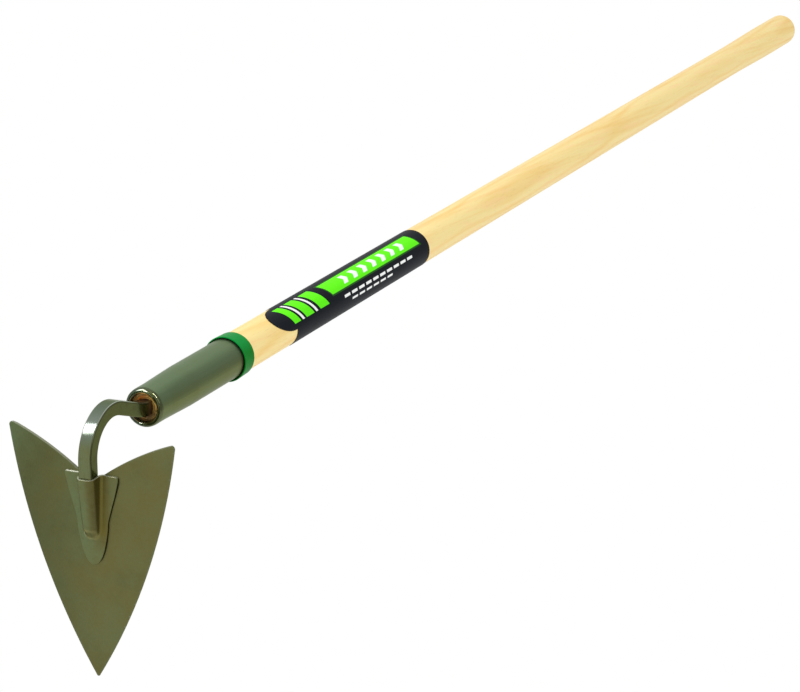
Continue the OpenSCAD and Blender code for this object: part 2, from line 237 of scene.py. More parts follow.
def seen_white(wire, right):
    """How white a ray finds the studio, and 1 for all rays but plain light on the hoe."""
    path = wire.node("LightPath").socket.node.outputs
    camera_ray, clear_ray, mirrored = (Wire(wire.tree, path[f"Is {kind} Ray"])
                                       for kind in ("Camera", "Transmission", "Glossy"))
    direct = camera_ray.most(clear_ray)
    return direct.most(mirrored * (1 - DIM_SIDE * right)), direct.most(mirrored)


floor_paint, spot = new_finish("floor_paint")
away = spot.node("VectorMath", {"operation": "LENGTH"}, {0: spot}, out="Value")
level, shown = seen_white(spot, spot.parts()[0].rise(*DIM_FLOOR))
lit = spot.node("BsdfDiffuse", {}, {"Color": FLOOR_PAINT})
white = spot.node("Emission", {}, {"Color": WHITE, "Strength": level})
fade = spot.node("MixShader", {}, {0: shown * away.rise(SHADOW_R, WHITE_R), 1: lit, 2: white})
spot.node("OutputMaterial", {}, {"Surface": fade})
dress(floor, floor_paint)

sky = bpy.data.worlds.new("sky")
scene.world = sky
sky.use_nodes = True
sky.node_tree.nodes.clear()
way = Wire(sky.node_tree, sky.node_tree.nodes.new("ShaderNodeTexCoord").outputs["Generated"])
level, shown = seen_white(way, way.parts()[0].rise(*DIM_SKY))
shine = way.node("Background", {}, {"Color": WHITE,
                                    "Strength": SKY_LIGHT * (1 - shown) + level})
way.node("OutputWorld", {}, {"Surface": shine})
scene.view_settings.view_transform = "Standard"
print(f"sky gives {SKY_LIGHT} of white, floor at z {FLOOR_Z}")

# %% [markdown]
# A softbox on the front left lights the hoe, and a wide one fills the right. The first is split in
# two: one lamp gives plain light, and one just in front of it shows only in gloss. One lamp could
# do both, but its highlight would be as yellow as the lacquer. So the second one has a trace of
# violet, and the band on the neck comes out white. The rolled lip at the mouth is as thin as a
# wire, and these lamps would leave only hairlines on it. Three more draw its highlights. Light
# linking, set where the lip is made, keeps them off everything else.


# %% Softboxes
def softbox(name, place, target, width, height, power, seen="both", tint=(1, 1, 1)):
    """A rectangular lamp; seen says whether plain light, gloss or both take it in."""
    light = bpy.data.lights.new(name, "AREA")
    light.shape, light.size, light.size_y, light.energy = "RECTANGLE", width, height, power
    light.color = tint
    box = bpy.data.objects.new(name, light)
    box.location = place
    box.rotation_euler = (Vector(target) - Vector(place)).to_track_quat("-Z", "Y").to_euler()
    box.visible_camera = False
    box.visible_diffuse, box.visible_glossy = seen != "gloss", seen != "plain"
    scene.collection.objects.link(box)
    print(f"{name}: {width} x {height} m, {power} W")
    return box


NECK, MOUTH, WOOD = (0, -0.21, 0), (0, -0.15, 0), (0, 0.2, 0)
FAINT_VIOLET = (1.0, 0.88, 1.06)
softbox("key_softbox", (-1.07, -1.11, 1.7), NECK, 0.5, 0.8, 20, "plain")
softbox("key_glint", (-1.05, -1.09, 1.665), NECK, 0.49, 0.785, 19, "gloss", FAINT_VIOLET)
softbox("fill_softbox", (2.3, -0.9, 1.3), WOOD, 1.5, 1.5, 9)
lip_glints = [
    softbox("front_glint", (-1.35, -1.8, 1.03), MOUTH, 0.6, 1.4, 55, "gloss", FAINT_VIOLET),
    softbox("low_glint", (-0.92, -2.3, 0.55), MOUTH, 0.25, 0.6, 36, "gloss", FAINT_VIOLET),
    softbox("right_glint", (1.1, -0.55, 1.6), MOUTH, 0.4, 1.0, 40, "gloss", FAINT_VIOLET),
]

# %% [markdown]
# ## Shared measures
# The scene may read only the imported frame, so each size that the new pieces need is written
# once, where it is first used. Places come from the boxes of the CAD pieces, so that old and
# new pieces meet. A few helpers take up the steps that every new piece repeats.

# %% Sizes and steps that the new pieces share
front_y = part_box("blade")[0].y
head_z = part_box("saddle_plate")[1].z
mouth_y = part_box("ferrule")[0].y
front_mm, head_mm, mouth_mm = front_y / MM, head_z / MM, mouth_y / MM
BAR = 9.2 * MM
WELD = 0.01 * MM


def start_edit(obj):
    bpy.ops.object.select_all(action="DESELECT")
    obj.select_set(True)
    bpy.context.view_layer.objects.active = obj
    bpy.ops.object.mode_set(mode="EDIT")


def merge_points(distance):
    bpy.ops.mesh.select_all(action="SELECT")
    bpy.ops.mesh.remove_doubles(threshold=distance)


def end_edit():
    """All faces look outwards, and the piece is an object again."""
    bpy.ops.mesh.select_all(action="SELECT")
    bpy.ops.mesh.normals_make_consistent(inside=False)
    bpy.ops.object.mode_set(mode="OBJECT")


def smooth_below(degrees):
    bpy.ops.object.shade_smooth_by_angle(angle=math.radians(degrees))


def apply_modifier(obj, kind, **settings):
    modifier = obj.modifiers.new(kind.lower(), kind)
    for key, value in settings.items():
        setattr(modifier, key, value)
    bpy.ops.object.modifier_apply(modifier=modifier.name)


def stands_for(piece, node):
    """The new piece rides on the hoe and hides that CAD piece."""
    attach(piece, "root")
    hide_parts(node)
    print(f"{piece.name}: {len(piece.data.polygons)} faces stand for {node}")


print(f"blade front at y {front_y:.4f}, saddle top at z {head_z:.4f}, mouth at y {mouth_y:.4f}")

# %% [markdown]
# ## The shank
# A square bar is forged into a foot, bent round into a gooseneck and drawn out to a tang. As
# in the smithy we start from the bar's section: a plane whose corners are rounded. Extrude
# makes the straight runs and Spin makes the two bends, so the section stays true all the way.
# A bevelled curve would be shorter to write, but its foot and tang could not taper.

# %% Bar, gooseneck and tang
FOOT_L, FOOT_W, FOOT_T, LEG_L = 32 * MM, 7.4 * MM, 5.5 * MM, 10.6 * MM
BEND_R, FALL, SLOPE_L = 26 * MM, math.radians(20), 25.4 * MM
EASE_R, NECK_INSET = 40 * MM, 3.5 * MM
TANG_L, TANG_PLAIN_L, TANG_TIP = 95 * MM, 10 * MM, 4 * MM
EDGE_R = 0.81 * MM
EDGE_STEPS, BEND_STEPS, EASE_STEPS = 4, 44, 10

leg_y = front_y - BAR / 2
bend_centre = Vector((0, leg_y + BEND_R, head_z + LEG_L))
ease_centre = Vector((0, mouth_y + NECK_INSET, EASE_R))

bpy.ops.object.select_all(action="DESELECT")
bpy.ops.mesh.primitive_plane_add(size=1, location=(0, front_y - FOOT_T / 2, head_z - FOOT_L))
shank = bpy.context.object
shank.name = "shank_bar"
shank.scale = (FOOT_W, FOOT_T, 1)
bpy.ops.object.transform_apply(location=True, rotation=True, scale=True)
start_edit(shank)
bpy.ops.mesh.select_all(action="SELECT")
bpy.ops.mesh.bevel(affect="VERTICES", offset=EDGE_R, segments=EDGE_STEPS, profile=0.5)


def extrude(*move):
    bpy.ops.mesh.extrude_region_move(TRANSFORM_OT_translate={"value": move})


def resize(factors, centre):
    bpy.ops.transform.resize(value=factors, center_override=centre)


extrude(0, 0, FOOT_L)
resize((BAR / FOOT_W, BAR / FOOT_T, 1), (0, front_y, 0))
extrude(0, 0, LEG_L)
bpy.ops.mesh.spin(steps=BEND_STEPS, angle=math.pi / 2 + FALL, center=bend_centre, axis=(1, 0, 0))
extrude(0, SLOPE_L * math.cos(FALL), -SLOPE_L * math.sin(FALL))
bpy.ops.mesh.spin(steps=EASE_STEPS, angle=-FALL, center=ease_centre, axis=(1, 0, 0))
extrude(0, TANG_PLAIN_L - NECK_INSET, 0)
extrude(0, TANG_L - TANG_PLAIN_L, 0)
resize((TANG_TIP / BAR, 1, TANG_TIP / BAR), (0, 0, 0))
merge_points(WELD)
end_edit()
smooth_below(32)
apply_modifier(shank, "WEIGHTED_NORMAL", keep_sharp=True)
stands_for(shank, "shank")
corners = [shank.matrix_world @ Vector(c) for c in shank.bound_box]
print("bar reaches from", [round(min(c[i] for c in corners), 4) for i in range(3)],
      "to", [round(max(c[i] for c in corners), 4) for i in range(3)])

# %% [markdown]
# ## The saddle plate
# A sheet of steel is pressed over the shank's foot: a channel in the middle, two flat wings
# beside it, wide shoulders on top and a rounded tongue below. A flat sheet with a bevelled
# channel would show hard folds, and a press makes soft ones. So each level of the plate gets a
# section of arcs, its back face first and its front face on the way back. A grid takes these
# points row by row, and becomes a closed skin. Towards the outline the front face falls off in a
# small round, as a stamped edge does.

# %% Outline and folds of the plate, in millimetres below its top
SHOULDER_W, TONGUE_W, TONGUE_START, TONGUE_L = 38.6, 20.0, 30.0, 27.5
SHOULDER_SLOPE = (SHOULDER_W - TONGUE_W) / 2 / TONGUE_START
SHOULDER_R, WAIST_SOFT, PLATE_T, PLATE_EDGE_R = 2.5, 3.0, 1.5, 0.5
CREST_R, ROOT_R, WALL = 2.5, 2.0 + PLATE_T, math.radians(82)
CHANNEL_END, END_NARROW, CHANNEL_CLEAR, FLAT_H = 10.0, 0.55, 0.15, 0.01
CREST_LIFT, WING_LIFT, LIFT_FADE = 0.6, 1.6, 12.0
ROOT_SHARE, CREST_SHARES, SLOPE_STEP, OUTLINE_STEPS = 0.92, (0.66, 0.33), 0.02, 900
RIM_STEPS, WING_STEPS, FOLD_STEPS = 5, 5, 8
bar_mm, foot_l_mm, foot_w_mm, foot_t_mm = (v / MM for v in (BAR, FOOT_L, FOOT_W, FOOT_T))
bends_r = CREST_R + ROOT_R
bends_x, bends_h = bends_r * math.sin(WALL), bends_r * (1 - math.cos(WALL))
plate_end = TONGUE_START + TONGUE_L


def unit(t):
    return min(1.0, max(0.0, t))


def smooth(t):
    return unit(t) ** 2 * (3 - 2 * unit(t))


def tongue_half(d):
    past = max(0.0, d - TONGUE_START) / TONGUE_L
    return TONGUE_W / 2 * math.sqrt(max(0.0, 1 - past ** 2))


def plate_half(d):
    """Half the width where the shoulders run into the tongue, with a soft waist."""
    shoulder, tongue = SHOULDER_W / 2 - d * SHOULDER_SLOPE, tongue_half(d)
    soft = WAIST_SOFT * unit(tongue / TONGUE_W)
    corner = 0.0
    if d < SHOULDER_R:
        corner = SHOULDER_R - math.sqrt(SHOULDER_R ** 2 - (SHOULDER_R - d) ** 2)
    return (shoulder + tongue + math.hypot(shoulder - tongue, soft)) / 2 - corner


def half_width(d):
    if d <= TONGUE_START:
        return plate_half(d)
    fade = smooth(1 - (d - TONGUE_START) / (TONGUE_L / 2))
    return tongue_half(d) + (plate_half(TONGUE_START) - TONGUE_W / 2) * fade


levels = [plate_end * i / OUTLINE_STEPS for i in range(OUTLINE_STEPS + 1)]
outline = [(half_width(d), d) for d in levels]
print(f"plate {plate_end} mm long, waist {2 * half_width(TONGUE_START):.1f} mm wide")


# %% Sections of the plate
def edge_round(x, d):
    """Thickness of the sheet at a point, less its round towards the outline."""
    away = min([d] + [math.hypot(abs(x) - px, d - pd) for px, pd in outline])
    away = min(away, PLATE_EDGE_R)
    return PLATE_T - PLATE_EDGE_R + math.sqrt(PLATE_EDGE_R ** 2 - (PLATE_EDGE_R - away) ** 2)


def top_lift(d, h):
    """Pressing draws the channel's upper edge down, so the wings stand a little higher."""
    flat = 1 - unit(h / (bar_mm + PLATE_T))
    return (CREST_LIFT + WING_LIFT * flat) * smooth(1 - d / LIFT_FADE)


def half_section(d):
    """Back face from the outline to the middle, as (across, height, slope) points."""
    # the channel is as high and wide as the foot under it, and closes past the foot's end
    closing = smooth((d - foot_l_mm) / CHANNEL_END)
    forged = min(d, foot_l_mm) / foot_l_mm
    over_foot = bar_mm - (bar_mm - foot_t_mm) * forged
    height = max(2 * FLAT_H, (over_foot + CHANNEL_CLEAR) * (1 - closing))
    half_bar = (bar_mm - (bar_mm - foot_w_mm) * forged) / 2
    crest = half_bar + CHANNEL_CLEAR - CREST_R * math.sin(WALL)
    crest *= 1 - END_NARROW * closing
    # its wall is an arc at the root, a straight stretch and an arc at the crest
    wall_h = max(FLAT_H, height - bends_h)
    arcs_h = height - wall_h
    slope = 2 * math.atan(arcs_h / bends_x)
    sum_r = (bends_x ** 2 + arcs_h ** 2) / (2 * arcs_h)
    root_r, crest_r = sum_r * ROOT_R / bends_r, sum_r * CREST_R / bends_r
    root_x = crest + bends_x + wall_h / math.tan(slope)
    # a narrow level squeezes the channel, and a slanting outline widens the rim's round
    outer = half_width(d)
    fit = min(1.0, ROOT_SHARE * outer / root_x)
    change = half_width(d + SLOPE_STEP) - half_width(max(0.0, d - SLOPE_STEP))
    lean = math.hypot(1.0, change / (2 * SLOPE_STEP))
    wing = outer - fit * root_x
    # the points run over rim, wing, root and crest
    points = []
    for i in range(RIM_STEPS + 1):
        inset = PLATE_EDGE_R * (1 - math.cos(math.pi / 2 * i / RIM_STEPS)) * lean
        points.append((outer - min(inset, wing / 2 * i / RIM_STEPS), 0.0, 0.0))
    first = points[-1][0]
    points += [(first + (fit * root_x - first) * i / WING_STEPS, 0.0, 0.0)
               for i in range(1, WING_STEPS)]
    for i in range(FOLD_STEPS + 1):
        a = slope * i / FOLD_STEPS
        points.append((fit * (root_x - root_r * math.sin(a)), root_r * (1 - math.cos(a)), a))
    for i in range(FOLD_STEPS + 1):
        a = slope * (1 - i / FOLD_STEPS)
        points.append((fit * (crest + crest_r * math.sin(a)),
                       height - crest_r * (1 - math.cos(a)), a))
    points += [(fit * crest * share, height, 0.0) for share in CREST_SHARES]
    return points


print(f"{len(half_section(0.0))} points on each half of a section")

# %% Skin of the plate
SHOULDER_ROWS, WAIST_ROWS, CHANNEL_ROWS, TONGUE_ROWS = 12, 20, 28, 30
LAST_TURN = math.radians(89)
PLATE_WELD = 0.0005 * MM


def steps(first, last, count):
    return [first + (last - first) * i / count for i in range(1, count + 1)]


channel_end = foot_l_mm + CHANNEL_END
first_turn = math.asin((channel_end - TONGUE_START) / TONGUE_L)
depths = [0.0] + [SHOULDER_R * (1 - math.cos(a)) for a in steps(0, math.pi / 2, SHOULDER_ROWS)]
depths += steps(SHOULDER_R, TONGUE_START, WAIST_ROWS)
depths += steps(TONGUE_START, channel_end, CHANNEL_ROWS)
depths += [TONGUE_START + TONGUE_L * math.sin(a)
           for a in steps(first_turn, LAST_TURN, TONGUE_ROWS)]

rings = []
for d in depths:
    half = half_section(d)
    back = half + [(-x, h, -a) for x, h, a in reversed(half)]
    ring = [(x, h) for x, h, a in back]
    for x, h, a in reversed(back):
        thick = edge_round(x, d)
        ring.append((x + thick * math.sin(a), h + thick * math.cos(a)))
    rings.append([(x * MM, front_y - h * MM, head_z - (d - top_lift(d, h)) * MM)
                  for x, h in ring + ring[:1]])

bpy.ops.object.select_all(action="DESELECT")
bpy.ops.mesh.primitive_grid_add(x_subdivisions=len(rings[0]) - 1, y_subdivisions=len(rings) - 1)
saddle = bpy.context.object
saddle.name = "pressed_saddle"
for vertex, place in zip(saddle.data.vertices, (p for ring in rings for p in ring)):
    vertex.co = place
start_edit(saddle)
merge_points(PLATE_WELD)
bpy.ops.mesh.fill_holes(sides=0)
end_edit()
smooth_below(40)
stands_for(saddle, "saddle_plate")

# %% [markdown]
# ## The blade
# The blade is one flat sheet, cut to two long arcs and ground on its back. The CAD form is
# right, but its edges are perfectly sharp, and no light catches on a sharp edge. Drawing it again
# would only repeat the arcs. So a copy is merged, its flat faces are joined again, and a Bevel
# modifier gives it the small round of a lacquered sheet.

# %% Blade with lacquered edges
BLADE_WELD, BLADE_FLAT = 0.002 * MM, math.radians(0.05)
BLADE_EDGE_R, BLADE_EDGE_STEPS, BLADE_EDGE_ANGLE = 0.28 * MM, 3, math.radians(30)

bpy.ops.object.select_all(action="DESELECT")
blade = nodes["blade"].copy()
blade.data = nodes["blade"].data.copy()
blade.name = "ground_blade"
for key in list(blade.keys()):
    del blade[key]
scene.collection.objects.link(blade)
start_edit(blade)
bpy.ops.mesh.select_all(action="SELECT")
bpy.ops.mesh.customdata_custom_splitnormals_clear()
merge_points(BLADE_WELD)
bpy.ops.mesh.dissolve_limited(angle_limit=BLADE_FLAT)
bpy.ops.object.mode_set(mode="OBJECT")
apply_modifier(blade, "BEVEL", width=BLADE_EDGE_R, segments=BLADE_EDGE_STEPS,
               limit_method="ANGLE", angle_limit=BLADE_EDGE_ANGLE)
smooth_below(25)
stands_for(blade, "blade")

# %% [markdown]
# ## The rolled lip
# The thin steel of the ferrule is rolled inwards at its mouth, so the edge is a round bead. The
# CAD piece rounds only the outside. A torus would be the quickest ring, but a roller presses the
# bead a little flat in front, so we draw its section as a circle, flatten that, and spin it round
# the handle's axis.

# %% Bead round the mouth
BEAD_MIDDLE_R, BEAD_R, BEAD_FLAT = 11.0 * MM, 1.9 * MM, 0.92
BEAD_POINTS, BEAD_STEPS = 36, 128

bpy.ops.object.select_all(action="DESELECT")
bpy.ops.mesh.primitive_circle_add(vertices=BEAD_POINTS, radius=BEAD_R,
                                  location=(BEAD_MIDDLE_R, mouth_y + BEAD_R, 0))
bead = bpy.context.object
bead.name = "rolled_lip"
bpy.ops.object.transform_apply(location=True, rotation=True, scale=True)
start_edit(bead)
bpy.ops.mesh.select_all(action="SELECT")
resize((1, BEAD_FLAT, 1), (BEAD_MIDDLE_R, mouth_y, 0))
bpy.ops.mesh.spin(steps=BEAD_STEPS, angle=2 * math.pi, center=(0, mouth_y, 0), axis=(0, 1, 0))
merge_points(WELD)
end_edit()
bpy.ops.object.shade_smooth()
lit_by_glints = bpy.data.collections.new("lit_by_glints")
lit_by_glints.objects.link(bead)
for glint in lip_glints:
    glint.light_linking.receiver_collection = lit_by_glints
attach(bead, "root")
print(f"{bead.name}: {len(bead.data.polygons)} faces round the mouth")

# %% [markdown]
# ## Resin in the mouth
# The tang's hole in the wood is wider than the bar, and a bead of amber resin closes it. We could
# draw a ring whose hole has the bar's section with its round corners. A thin cylinder is simpler:
# a Boolean modifier cuts the bar itself out of it, so that both fit.

# %% Seal round the tang
SEAL_R, SEAL_T, SEAL_IN, SEAL_SIDES = 7.4 * MM, 1.2 * MM, 4.0 * MM, 64

bpy.ops.object.select_all(action="DESELECT")
bpy.ops.mesh.primitive_cylinder_add(vertices=SEAL_SIDES, radius=SEAL_R, depth=SEAL_T,
                                    location=(0, mouth_y + SEAL_IN + SEAL_T / 2, 0),
                                    rotation=(math.pi / 2, 0, 0))
seal = bpy.context.object
seal.name = "resin_seal"
bpy.ops.object.transform_apply(location=True, rotation=True, scale=True)
apply_modifier(seal, "BOOLEAN", object=shank, operation="DIFFERENCE", solver="EXACT")
smooth_below(40)
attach(seal, "root")
print(f"{seal.name}: {len(seal.data.polygons)} faces round the tang")

# %% [markdown]
# ## Lacquered steel
# Blade, saddle, shank and ferrule are steel under the same thin olive lacquer. Paint over metal
# could be two shaders with a mask, but the film is clear enough for one. It is mostly metal, so
# it darkens and shines with the room, and its highlights keep a trace of green. Clouds of two
# tones, faint drawn lines and a slight orange peel keep it from looking like plastic.

# %% Lacquer tones and skin
OLIVE, MOSS, UMBER = srgb(106, 102, 58), srgb(98, 118, 84), srgb(74, 66, 34)


def lacquer_tone(spot, moss_share):
    """Olive clouded with moss green; moss_share is a number or a wire."""
    clouds = spot.noise(26, 3, 0.55)
    drawn = spot.moved(scale=(1, 0.06, 1)).noise(420, 2, 0.6)
    mossy = clouds.rise(0.38, 0.68) * 0.3 + drawn.rise(0.4, 0.7) * 0.12 + moss_share
    return mossy.least(1.0).mix(OLIVE, MOSS)


def lacquer_skin(spot, depth=0.012):
    """Orange peel and settled dust, with a depth in millimetres."""
    peel = spot.noise(700, 2, 0.5)
    dust = spot.noise(2600, 1, 0.5)
    return (peel + dust.rise(0.66, 0.74) * 0.5).bump(depth * MM, 0.6)


def upward_share(spot):
    """1 where the surface looks straight up, -1 where it looks straight down."""
    return spot.node("NewGeometry", out="True Normal").parts()[2]


print("lacquer mixes", *([round(c, 3) for c in tone[:3]] for tone in (OLIVE, MOSS, UMBER)))

# %% [markdown]
# The blade is painted darker on its left, with random mottle, as painted shade, and lighter and
# greener at the left ear, as a painted sheen. The rim is worn, with a painted highlight along the
# top edges, the back is ground bare along the sides, and a painted shadow lies along the saddle
# plate's right edge. A painted mask could hold all this, but it would be a picture. The outline is
# made of known arcs, so the distance to them gives sharper masks.

# %% Blade finish
# arcs of the outline: centre across, centre above the saddle's top, radius
SIDE_ARC, TOP_ARC = (-354.8, 85.55, 417), (123.8, -155.15, 195)
DARK_MOTTLE_AND_SHADE, SEAM_SHADE = srgb(68, 74, 42), srgb(38, 34, 16)
LIT_EDGE, NICK, GROUND = srgb(172, 176, 152), srgb(150, 152, 136), srgb(150, 150, 138)


def inside_arc(across, height, centre_x, centre_z, radius):
    return radius - hypot(across - centre_x, height - centre_z)


blade_finish, spot = new_finish("lacquered_blade")
x, y, z = spot.millimetres()
below = head_mm - z
to_side, to_top = (inside_arc(abs(x), -below, *arc) for arc in (SIDE_ARC, TOP_ARC))
rim = to_side.least(to_top).fall(0.5, 1.5)
# painted sheen: the left ear is lighter and greener
ear_sheen = (-x).rise(28, 58) * z.rise(-60, 0)
mottle = spot.noise(38, 4, 0.6).rise(0.42, 0.78)
specks = spot.moved(scale=(1, 1, 0.3)).noise(1500, 2, 0.6)
# painted shade: darker towards the left, mixed with random mottle
thick = x.fall(-56, 12) * 0.6 + mottle * 0.24 + (specks - 0.5) * 0.4 - ear_sheen * 0.35
shoulder = SHOULDER_W / 2 - below * SHOULDER_SLOPE
tongue = (1 - ((below - TONGUE_START).most(0.0) / TONGUE_L) ** 2).most(0.0) ** 0.5
past_plate = x - shoulder.most(tongue * (TONGUE_W / 2))
# painted shadow along the saddle plate's right edge
seam_shadow = past_plate.between(-1.0, 0.5, 0.25) * below.between(1.5, 54.0, 1.5)
nicks = rim * spot.noise(520, 3, 0.6).rise(0.6, 0.68)
ground = y.rise(front_mm + 0.5, front_mm + 0.6) * to_side.fall(4.9, 5.1)
grit = spot.moved(scale=(1, 1, 0.05)).noise(1500, 2, 0.6)
tone = lacquer_tone(spot, rim * 0.12 + ear_sheen * 0.6)
tone = thick.most(0.0).mix(tone, DARK_MOTTLE_AND_SHADE)
tone = (seam_shadow * 0.75).mix(tone, SEAM_SHADE)
# painted highlight along the top edges
tone = (to_top.fall(0.02, 0.4) * 0.5).mix(tone, LIT_EDGE)
tone = (nicks * 0.4).mix(tone, NICK)
tone = (ground * (0.35 + grit * 0.4)).mix(tone, GROUND)
surface(spot, Base_Color=tone, Metallic=0.9, Roughness=0.4 + specks * 0.12 - rim * 0.06,
        Normal=lacquer_skin(spot))
dress(blade, blade_finish)

# %% [markdown]
# On the saddle plate the raised channel is browner, and the left side, the tongue and the right
# wing's edge greener. A painted warm reflection lies on the channel's right wall and root, a
# painted shadow in the joint with the blade, and painted highlights on the top edges, at the left
# root and on faces that look down. The masks come from how far a point stands proud of the blade,
# how far it lies below the top and which way it faces. Vertex colours could hold them too, but
# would be as coarse as the mesh.

# %% Saddle finish
GOLD, GOLD_FOLD = srgb(100, 88, 26), srgb(124, 112, 46)
ROOT_HIGHLIGHT, DOWNWARD_SHEEN = srgb(160, 166, 136), srgb(140, 134, 84)
JOINT_SHADE, TOP_EDGE_HIGHLIGHT = srgb(40, 34, 16), srgb(206, 212, 192)

saddle_finish, spot = new_finish("lacquered_saddle")
x, y, z = spot.millimetres()
proud, below = front_mm - y, head_mm - z
upward = upward_share(spot)
# painted shadow in the joint with the blade
joint = proud.fall(0.95, 1.3) * below.rise(-1.4, -0.2)
# painted highlight on edges that look up
upward_highlight = upward.rise(0.6, 0.85)
# painted warm reflection on the channel's right wall and root
fold_reflection = proud.rise(1.5, 1.9) * proud.fall(3.2, 5.2) * below.rise(0.5, 3.0) * x.rise(0, 2)
root_reflection = x.rise(4.5, 6.5) * x.fall(8.5, 12.5) * below.fall(34, 44)
# painted sheen on faces that look down, stronger on the left
underside_sheen = (-upward).rise(0.12, 0.45) * (1 - joint)
left = (-x).rise(-1, 3)
# painted highlights at the left root and along the left wing's top
left_root_highlight = (-x).rise(4.0, 5.5) * proud.rise(1.55, 1.8) * below.rise(0.5, 2.0)
left_top_highlight = (-x).rise(7, 10) * below.fall(-1.7, -1.0)
green = (-x).rise(-4.2, 1.0).most(below.rise(42, 51)).most(x.rise(10, 15) * 0.6)
brown = 0.2 - green * 0.15 + proud.rise(2.5, 6.0) * (0.3 - green * 0.3)
brown = brown + spot.noise(300, 3, 0.6).rise(0.45, 0.75) * 0.2
tone = brown.mix(lacquer_tone(spot, green * 0.3), UMBER)
tone = (root_reflection * 0.5).mix(tone, GOLD)
tone = (left_root_highlight * 0.6).mix(tone, ROOT_HIGHLIGHT)
tone = (fold_reflection * 0.2).mix(tone, GOLD_FOLD)
tone = (underside_sheen * (0.3 + left * 0.5)).mix(tone, DOWNWARD_SHEEN)
tone = (joint * 0.85).mix(tone, JOINT_SHADE)
tone = (upward_highlight * 0.5).most(left_top_highlight * 0.5).mix(tone, TOP_EDGE_HIGHLIGHT)
surface(spot, Base_Color=tone, Metallic=0.75, Roughness=0.32 + spot.noise(80, 3) * 0.1,
        Specular_Tint=(0.5, 0.5, 0.4, 1), Normal=lacquer_skin(spot))
dress(saddle, saddle_finish)

# %% [markdown]
# The bar keeps marks of forging scale and the lines of the rolling mill. Faces that look up are
# painted lighter and greyer as painted light, with a painted highlight along the top of the bend;
# the sides get painted shade, and the edges a painted highlight above and painted shade below.
# Inside the mouth it takes on a painted reddish reflection. These could be materials of their own
# on chosen faces, but masks by direction fade softly into each other. A smoother skin than on the
# plates lets the softbox show as a clear band.

# %% Shank finish
SIDE_SHADE, LIT_TOP_TONE, CROWN_HIGHLIGHT = srgb(64, 68, 22), srgb(100, 113, 98), srgb(130, 140, 130)
EDGE_SHADE, EDGE_HIGHLIGHT, MOUTH_REFLECTION = srgb(58, 56, 32), srgb(196, 204, 188), srgb(126, 104, 92)

shank_finish, spot = new_finish("lacquered_bar")
x, y, _ = spot.millimetres()
upward, half_bar = upward_share(spot), bar_mm / 2
scale_marks = spot.noise(160, 4, 0.6)
rolled = spot.moved(scale=(1, 0.08, 0.08)).noise(900, 2, 0.6)
edges = abs(x).between(half_bar - 0.75, half_bar - 0.1, 0.12)
sides = abs(x).rise(half_bar - 0.2, half_bar)
# painted light: faces that look up are lighter and greyer, with a painted highlight at the top of
# the bend
lit_top = upward.rise(0.25, 0.6) * (1 - sides)
upper = upward.rise(0.45, 0.65)
crown_highlight = upward.rise(0.62, 0.74) * upward.fall(0.8, 0.97) * (1 - sides)
brown = scale_marks.rise(0.56, 0.75) * 0.4 + rolled.rise(0.5, 0.75) * 0.3 + 0.08
tone = brown.mix(lacquer_tone(spot, 0.3), UMBER)
# painted shade on the sides
tone = (sides * 0.6).mix(tone, SIDE_SHADE)
tone = (lit_top * 0.9).mix(tone, LIT_TOP_TONE)
tone = (crown_highlight * 0.45).mix(tone, CROWN_HIGHLIGHT)
# painted highlight on the edges above, painted shade below
tone = (edges * (0.5 + upper * 0.2)).mix(tone, upper.mix(EDGE_SHADE, EDGE_HIGHLIGHT))
# painted reddish reflection inside the mouth
tone = (y.rise(mouth_mm - 3, mouth_mm + 1) * 0.8).mix(tone, MOUTH_REFLECTION)
surface(spot, Base_Color=tone, Metallic=0.9, Roughness=0.12 + scale_marks * 0.06 + sides * 0.1,
        Specular_Tint=(0.45, 0.48, 0.34, 1), Coat_Weight=0.1, Coat_IOR=2.0, Coat_Roughness=0.03,
        Normal=lacquer_skin(spot, 0.0015))
dress(shank, shank_finish)

# %% [markdown]
# The ferrule was brushed along its length before it was lacquered, so its noise is stretched that
# way. Inside the mouth the lacquer stays golden over the rings of the lathe. The tube is one piece,
# so two materials would need its faces sorted, and a mask by the distance from the axis is enough.

# %% Ferrule finish
BRUSHED, UNDERSIDE_REFLECTION, LIP_SHADE = srgb(122, 142, 110), srgb(100, 107, 50), srgb(60, 72, 34)
GOLDEN, LATHE_SHADE = srgb(226, 160, 72), srgb(130, 74, 26)
LEFT_SHADE, LOW_SHADE = srgb(92, 52, 22), srgb(84, 40, 18)

ferrule_finish, spot = new_finish("lacquered_ferrule")
x, y, z = spot.millimetres()
from_axis, behind = hypot(x, z), y - mouth_mm
within = from_axis.fall(9.9, 10.2).most(from_axis.fall(12.0, 12.3) * behind.rise(1.9, 2.4))
lip = behind.fall(2.2, 3.2) * (1 - within)
brushed = spot.moved(scale=(1, 0.02, 1)).noise(700, 3, 0.6)
# painted reflection: greener on top and olive-yellow underneath
under = z.fall(-2, 9)
lathe = (behind * 5.2).wave()
golden = (lathe * 0.4).mix(GOLDEN, LATHE_SHADE)
golden = x.rise(-8, 3).mix(LEFT_SHADE, golden)
golden = z.fall(-11, -4).mix(golden, LOW_SHADE)
tone = lacquer_tone(spot, 0.75 - under * 0.5)
tone = (brushed.rise(0.2, 0.8) * 0.16 + 0.2).mix(tone, BRUSHED)
tone = (under * 0.55).mix(tone, UNDERSIDE_REFLECTION)
tone = (lip * 0.85).mix(tone, LIP_SHADE)
tone = within.mix(tone, golden)
roughness = 0.3 + spot.noise(90, 3) * 0.08 - (lip + within) * 0.2
surface(spot, Base_Color=tone, Metallic=0.9, Roughness=roughness,
        Specular_Tint=(0.7, 0.74, 0.66, 1), Coat_Weight=lip * 0.25, Coat_IOR=1.9,
        Coat_Roughness=0.04, Normal=lacquer_skin(spot))
dress(nodes["ferrule"], ferrule_finish)

